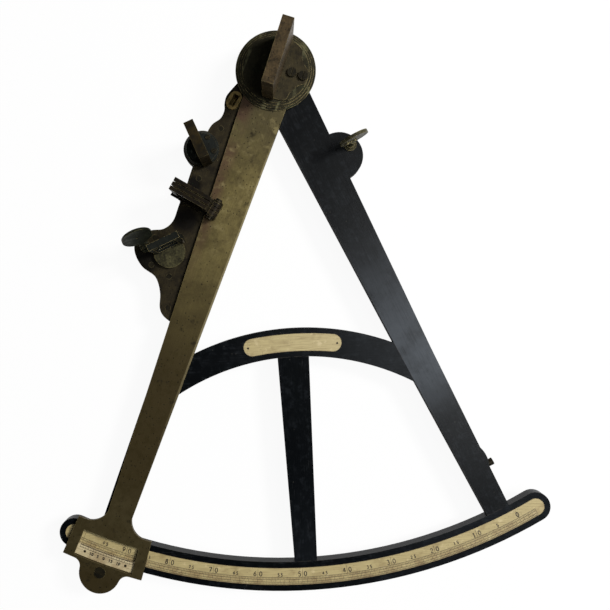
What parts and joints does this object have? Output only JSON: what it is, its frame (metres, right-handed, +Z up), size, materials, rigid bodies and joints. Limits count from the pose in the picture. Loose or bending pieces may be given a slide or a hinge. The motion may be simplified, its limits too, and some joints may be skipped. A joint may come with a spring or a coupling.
{
  "type": "navigators quadrant",
  "caption": "Ebony-framed reflecting quadrant with a swinging brass index arm, inlaid degree scale, fore and back horizon glasses, hinged shades and sight vanes.",
  "frame": {"origin": "on the index arm's axis, at the flat underside of the turned foot below the pivot", "axes": "+Z up out of the frame's face along the pivot, +Y from the arc towards the pivot along the middle of the arc, +X to the right seen from above"},
  "size_m": [0.3898, 0.4431, 0.0794],
  "materials": {
    "ebony": "polished, worn",
    "bone": "yellowed, satin",
    "brass": "aged satin",
    "dull_brass": "dark patina",
    "silvered_glass": "silvered",
    "half_silvered_glass": "half silvered",
    "dark_red_glass": "clear",
    "red_glass": "clear",
    "green_glass": "clear"
  },
  "bodies": {
    "frame": {"left_limb": "ebony", "right_limb": "ebony", "crossbar": "ebony", "strut": "ebony", "arc_limb": "ebony", "degree_scale": "bone", "nameplate": "bone", "nameplate_pins": "brass", "wing_plate": "dull_brass", "wing_plate_screws": "brass", "centre_bush": "brass", "pivot_foot": "dull_brass", "pivot_foot_screws": "brass", "limb_feet": "dull_brass", "limb_peg": "dull_brass", "fore_shade_socket": "brass", "back_shade_socket": "brass", "spindle_liners": "brass", "fore_vane_liner": "brass", "back_vane_stand": "brass", "back_vane_pin": "dull_brass"},
    "index": {"index_arm": "brass", "index_disc": "dull_brass", "centre_pin": "brass", "centre_washer": "brass", "centre_nut": "dull_brass", "index_mirror_foot": "dull_brass", "index_mirror_frame": "brass", "index_mirror": "silvered_glass", "index_mirror_screws": "dull_brass", "vernier_plate": "bone", "vernier_pins": "dull_brass", "clamp_block": "brass", "clamp_block_screw": "dull_brass"},
    "thumbscrew": {"clamp_thumbscrew": "brass"},
    "shoe": {"clamp_shoe": "dull_brass"},
    "fore_glass": {"fore_horizon_base": "dull_brass", "fore_horizon_frame": "brass", "fore_horizon_glass": "half_silvered_glass", "fore_horizon_screws": "brass", "fore_horizon_lever": "brass"},
    "fore_nut": {"fore_horizon_nut": "dull_brass"},
    "back_glass": {"back_horizon_base": "brass", "back_horizon_frame": "brass", "back_horizon_glass": "half_silvered_glass", "back_horizon_screw": "dull_brass", "back_horizon_lever": "brass"},
    "back_nut": {"back_horizon_nut": "dull_brass"},
    "shade_holder": {"shade_bracket": "brass", "shade_pivot_screw": "brass"},
    "shade_1": {"shade_frame_1": "brass", "shade_glass_1": "dark_red_glass"},
    "shade_2": {"shade_frame_2": "brass", "shade_glass_2": "red_glass"},
    "shade_3": {"shade_frame_3": "brass", "shade_glass_3": "green_glass"},
    "fore_vane": {"fore_sight_vane": "brass"},
    "shutter": {"fore_vane_shutter": "dull_brass"},
    "back_vane": {"back_sight_vane": "dull_brass"}
  },
  "joints": [
    {"name": "index_swing", "type": "hinge", "parent": "frame", "child": "index", "pos_m": [0, 0, 0], "axis": [0, 0, 1], "range_deg": [-1, 49.5]},
    {"name": "clamp_screw_turn", "type": "hinge", "parent": "index", "child": "thumbscrew", "pos_m": [-0.15565, -0.36847, 0.01], "axis": [0, 0, 1], "range_deg": [0, 135]},
    {"name": "clamp_shoe_press", "type": "slide", "parent": "index", "child": "shoe", "axis": [0, 0, 1], "range_m": [0, 0.0003]},
    {"name": "fore_glass_adjust", "type": "hinge", "parent": "frame", "child": "fore_glass", "pos_m": [-0.0619, -0.057, 0.016], "axis": [0, 0, 1], "range_deg": [-10, 10]},
    {"name": "fore_nut_turn", "type": "hinge", "parent": "fore_glass", "child": "fore_nut", "pos_m": [-0.0619, -0.057, 0.01], "axis": [0, 0, 1], "range_deg": [0, 360]},
    {"name": "back_glass_adjust", "type": "hinge", "parent": "frame", "child": "back_glass", "pos_m": [-0.0925, -0.137, 0.016], "axis": [0, 0, 1], "range_deg": [-10, 10]},
    {"name": "back_nut_turn", "type": "hinge", "parent": "back_glass", "child": "back_nut", "pos_m": [-0.0925, -0.137, 0.01], "axis": [0, 0, 1], "range_deg": [0, 360]},
    {"name": "shade_bracket_lift", "type": "slide", "parent": "frame", "child": "shade_holder", "axis": [0, 0, 1], "range_m": [0, 0.01]},
    {"name": "shade_1_swing", "type": "hinge", "parent": "shade_holder", "child": "shade_1", "pos_m": [-0.0545, -0.1065, 0.0382], "axis": [0.5476, 0.8368, 0], "range_deg": [0, 95]},
    {"name": "shade_2_swing", "type": "hinge", "parent": "shade_holder", "child": "shade_2", "pos_m": [-0.0545, -0.1065, 0.0382], "axis": [0.5476, 0.8368, 0], "range_deg": [0, 95]},
    {"name": "shade_3_swing", "type": "hinge", "parent": "shade_holder", "child": "shade_3", "pos_m": [-0.0545, -0.1065, 0.0382], "axis": [0.5476, 0.8368, 0], "range_deg": [0, 95]},
    {"name": "fore_vane_turn", "type": "hinge", "parent": "frame", "child": "fore_vane", "pos_m": [0.0554, -0.0612, 0.016], "axis": [0, 0, 1], "range_deg": [-90, 90]},
    {"name": "shutter_swing", "type": "hinge", "parent": "fore_vane", "child": "shutter", "pos_m": [0.04945, -0.06381, 0.0525], "axis": [0.4019, -0.9157, 0], "range_deg": [0, 49.5]},
    {"name": "back_vane_fold", "type": "hinge", "parent": "frame", "child": "back_vane", "pos_m": [-0.1117, -0.1313, 0.0322], "axis": [0.9336, 0.3584, 0], "range_deg": [-66, 20]}
  ],
  "couplings": [
    {"joint": "clamp_shoe_press", "follows": "clamp_screw_turn", "m_per_rad": 0.000127}
  ]
}
